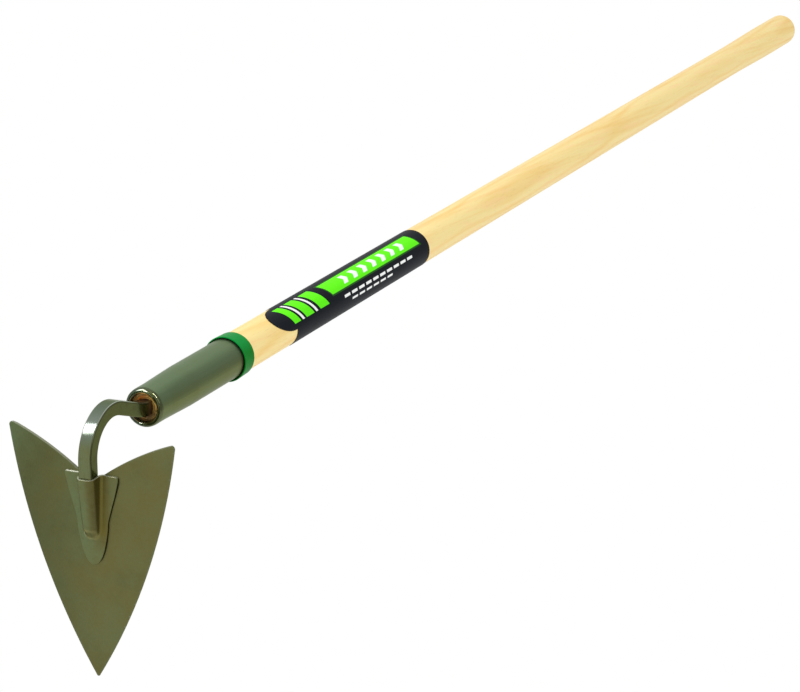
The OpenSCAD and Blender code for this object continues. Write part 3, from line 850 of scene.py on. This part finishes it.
# %% [markdown]
# On the rolled lip the lacquer is far glossier than on the tube, and its tone is painted dark,
# greyer green on the left and olive on the right, as painted shade and reflection, with patches of
# pooled lacquer. A clear coat gives the gloss: more polish on the metal alone would lose the green
# under the highlights.

# %% Lip finish
LIP_LEFT, LIP_RIGHT, POOL = srgb(58, 74, 50), srgb(74, 82, 40), srgb(44, 48, 24)

lip_finish, spot = new_finish("lacquered_lip")
x = spot.millimetres()[0]
pooled = spot.noise(240, 3, 0.6)
# painted reflection: greyer green on the left, olive on the right
tone = x.rise(-6, 10).mix(LIP_LEFT, LIP_RIGHT)
tone = (pooled.rise(0.45, 0.7) * 0.4).mix(tone, POOL)
surface(spot, Base_Color=tone, Metallic=0.9, Roughness=0.12 + pooled * 0.06, Coat_Weight=0.3,
        Coat_IOR=1.9, Coat_Roughness=0.04, Specular_Tint=(0.6, 0.62, 0.5, 1),
        Normal=lacquer_skin(spot, 0.004))
dress(bead, lip_finish)

# %% [markdown]
# ## Ash wood
# The handle is turned from pale ash and clear varnished. Growth rings are circles round the heart
# of the tree, which lies outside the handle, so the turned surface cuts them in long streaks and
# pointed arches. A Wave texture would draw its rings round the handle's own axis, so we measure
# the distance from the heart ourselves. Stretched noise adds fibres, pores and, slightly twisted
# round the handle as in a tree with spiral grain, streaks and flecks. The nose inside the ferrule
# is soaked amber with varnish.

# %% Wood finish
HEART_X, HEART_Z, RING_W, RING_WANDER = -35, -30, 5.2, 20
TWIST = -0.0054  # radians for each millimetre of the handle
PALE_WOOD, LATE_WOOD = srgb(248, 224, 152), srgb(243, 200, 113)
FLECK, PORE = srgb(252, 211, 147), srgb(190, 146, 84)
SOAKED, AMBER, AMBER_RING = srgb(112, 70, 34), srgb(255, 214, 130), srgb(150, 92, 34)
AMBER_LEFT_SHADE, AMBER_LOW_SHADE = srgb(150, 84, 28), srgb(62, 26, 14)

wood_finish, spot = new_finish("varnished_ash")
x, y, z = spot.millimetres()
twisted = spot.node("VectorRotate", {"rotation_type": "Y_AXIS"},
                    {"Vector": spot, "Angle": y * TWIST})
wander = spot.moved(scale=(1, 0.35, 1)).noise(9, 2, 0.5) * RING_WANDER
heart = hypot(x - HEART_X + wander, z - HEART_Z + wander * 0.6)
late_wood = (heart * (2 * math.pi / RING_W)).wave() ** 2.0 * 0.5
fibres = spot.moved(scale=(1, 0.012, 1)).noise(900, 3, 0.6)
streaks = twisted.moved(place=(0.3, 0.1, 0), scale=(1, 0.03, 1)).noise(170, 3, 0.55)
pores = spot.moved(scale=(1, 0.035, 1)).noise(2600, 1, 0.5).rise(0.64, 0.72)
flecks = twisted.moved(place=(0.7, 0.2, 0), scale=(1, 0.09, 1)).noise(200, 2, 0.5)
grain = late_wood + streaks.rise(0.45, 0.75) * 0.55 + (fibres - 0.5) * 0.5
tone = grain.most(0.0).least(1.0).mix(PALE_WOOD, LATE_WOOD)
tone = (flecks.rise(0.5, 0.7) * 0.5).mix(tone, FLECK)
tone = (pores * 0.2).mix(tone, PORE)
from_axis = hypot(x, z)
nose = y.fall(mouth_mm + 5.5, mouth_mm + 7.5)
amber = from_axis.rise(5.4, 7.2).mix(SOAKED, AMBER)
amber = ((from_axis * 6.5).wave() * 0.6).mix(amber, AMBER_RING)
# painted shade on the nose's left and at its bottom
amber = ((-x).rise(1, 9) * 0.4).mix(amber, AMBER_LEFT_SHADE)
amber = (z.fall(-11, -2) * 0.92).mix(amber, AMBER_LOW_SHADE)
tone = nose.mix(tone, amber)
surface(spot, Base_Color=tone, Roughness=0.46 + fibres * 0.12 - nose * 0.3,
        Specular_IOR_Level=0.25, Coat_Weight=0.08, Coat_Roughness=0.25,
        Normal=(fibres * 0.6 - pores).bump(0.04 * MM, 0.35))
dress(nodes["handle"], wood_finish)

# %% [markdown]
# The resin set in ripples round the tang. Real resin lets light through, but the bead is only
# 1.2 mm thick and sits in a dark mouth, so bright and dark amber tones under a thin coat do the
# same as painted light and shade, and leave no noise in the picture: a painted golden highlight on
# the right, and painted shade by the bar and at the bottom.

# %% Resin finish
RESIN_LEFT, RESIN_LIT_RIGHT, RIPPLE = srgb(238, 140, 36), srgb(255, 220, 120), srgb(150, 80, 22)
BAR_SHADE, RESIN_LOW_SHADE = srgb(84, 44, 20), srgb(70, 28, 14)

resin_finish, spot = new_finish("amber_resin")
x, _, z = spot.millimetres()
from_axis = hypot(x, z)
ripples = (from_axis * 5.2 + spot.noise(300, 2) * 2).wave()
# painted highlight: golden and brighter on the right
tone = x.rise(-4, 4).mix(RESIN_LEFT, RESIN_LIT_RIGHT)
tone = (ripples * 0.75).mix(tone, RIPPLE)
# painted shade by the bar and at the bottom
tone = from_axis.fall(4.2, 6.4).mix(tone, BAR_SHADE)
tone = (z.fall(-6, 1) * 0.85).mix(tone, RESIN_LOW_SHADE)
surface(spot, Base_Color=tone, Roughness=0.3 + ripples * 0.1, Specular_IOR_Level=0.3,
        Coat_Weight=0.12, Coat_Roughness=0.1, Normal=ripples.bump(0.15 * MM, 0.6))
dress(seal, resin_finish)

# %% [markdown]
# ## Printed film
# A dark film wraps the handle behind the collar. Its print is drawn by the angle round the handle
# and the distance along it: slanted bars on the rounded front end, one long band of chevrons with
# slanted ends, and two rows of dashes. An image texture would be the usual way, but this print is
# plain enough for maths, stays sharp close up and needs no unwrapping.

# %% Film finish
# pairs run from and to, round the handle or along it; a bar is a start and a width
FILM_R, SOFT, SLANT = 14.6, 0.12, 0.55
BAND_AROUND, BAND_ALONG = (9.2, 21.4), (112, 262)
KEYLINE_AROUND, KEYLINE_ALONG = (8.0, 22.6), (110.4, 263.6)
CHEVRON_AROUND, CHEVRON_ALONG = (11.6, 19.0), (128, 240)
CHEVRON_MIDDLE, CHEVRON_SLOPE, CHEVRON_STEP = 15.3, 0.9, 8.0
FRONT_AROUND, BARS = (5.0, 22.6), ((46, 9), (64, 12), (86, 14))
PINSTRIPES, PINSTRIPE_W = (58, 79), 3
DASH_ROWS, DASH_STEP = (((2.6, 4.6), (120, 240)), ((-1.6, 0.0), (132, 204))), 6.0
FILM, FILM_CLOUD, INK_WHITE = srgb(16, 19, 24), srgb(24, 29, 36), srgb(244, 246, 244)
LIME, LIME_TOP, KEYLINE = srgb(94, 240, 18), srgb(106, 252, 28), srgb(40, 90, 30)

film_finish, spot = new_finish("printed_film")
x, along, z = spot.millimetres()
around = z.math("ARCTAN2", z, x) * FILM_R
slant = along + around * SLANT
band = around.between(*BAND_AROUND, SOFT) * slant.between(*BAND_ALONG, SOFT)
keyline = around.between(*KEYLINE_AROUND, SOFT) * slant.between(*KEYLINE_ALONG, SOFT) - band
pointed = along + abs(around - CHEVRON_MIDDLE) * CHEVRON_SLOPE
chevrons = pointed.math("PINGPONG", pointed, CHEVRON_STEP).rise(4.6, 4.9)
chevrons = chevrons * pointed.between(*CHEVRON_ALONG, SOFT)
chevrons = chevrons * around.between(*CHEVRON_AROUND, SOFT)
front_end = around.between(*FRONT_AROUND, SOFT)
bars = sum(slant.between(start, start + wide, SOFT) for start, wide in BARS) * front_end
pinstripes = sum(slant.between(start, start + PINSTRIPE_W, SOFT) for start in PINSTRIPES)
rows = sum(around.between(*wide, SOFT) * along.between(*long, SOFT) for wide, long in DASH_ROWS)
dashes = rows * along.math("PINGPONG", along, DASH_STEP).rise(1.4, 1.7)
weave = spot.noise(1400, 2, 0.6)
tone = spot.noise(40, 2).mix(FILM, FILM_CLOUD)
tone = (bars + band).least(1.0).mix(tone, around.rise(6, 22).mix(LIME, LIME_TOP))
tone = (dashes + pinstripes * front_end + chevrons).least(1.0).mix(tone, INK_WHITE)
tone = (keyline * 0.85).mix(tone, KEYLINE)
surface(spot, Base_Color=tone, Roughness=0.4 + weave * 0.08, Specular_IOR_Level=0.03,
        Normal=weave.bump(0.01 * MM, 0.4))
dress(nodes["label"], film_finish)

# %% [markdown]
# ## Moulded collar and drive pin
# The collar is moulded in green plastic, a little cloudy and finely grained. Subsurface light would
# suit plastic, but on a dark green it hardly shows, so a grained bump and two cloudy tones are
# enough, with a painted highlight on top and painted shade in the bore at its front. The pin is
# bare drawn steel with a turned head, so it is plain metal, and noise drawn out along its axis
# makes its roughness streaky.

# %% Collar and pin finishes
COLLAR, COLLAR_CLOUD = srgb(8, 113, 28), srgb(12, 124, 37)
COLLAR_LIT_TOP, COLLAR_BORE_SHADE = srgb(4, 144, 60), srgb(10, 60, 26)
PIN, PIN_STREAK = srgb(128, 128, 122), srgb(168, 168, 160)

collar_finish, spot = new_finish("moulded_collar")
x, _, z = spot.millimetres()
# painted shade in the bore at the collar's front
bore_shade = hypot(x, z).fall(14.95, 15.25)
tone = spot.noise(70, 2).rise(0.3, 0.7).mix(COLLAR, COLLAR_CLOUD)
# painted highlight on top
tone = (z.rise(4, 13) * 0.8).mix(tone, COLLAR_LIT_TOP)
tone = (bore_shade * 0.8).mix(tone, COLLAR_BORE_SHADE)
surface(spot, Base_Color=tone, Roughness=0.34 + spot.noise(900, 2) * 0.08,
        Specular_IOR_Level=0.04, Normal=spot.noise(1600, 2).bump(0.02 * MM, 0.4))
dress(nodes["collar"], collar_finish)

pin_finish, spot = new_finish("drawn_pin")
drawn = spot.moved(scale=(1, 1, 0.1)).noise(1800, 2)
tone = drawn.mix(PIN, PIN_STREAK)
surface(spot, Base_Color=tone, Metallic=1.0, Roughness=0.28 + drawn * 0.16)
dress(nodes["ferrule_pin"], pin_finish)
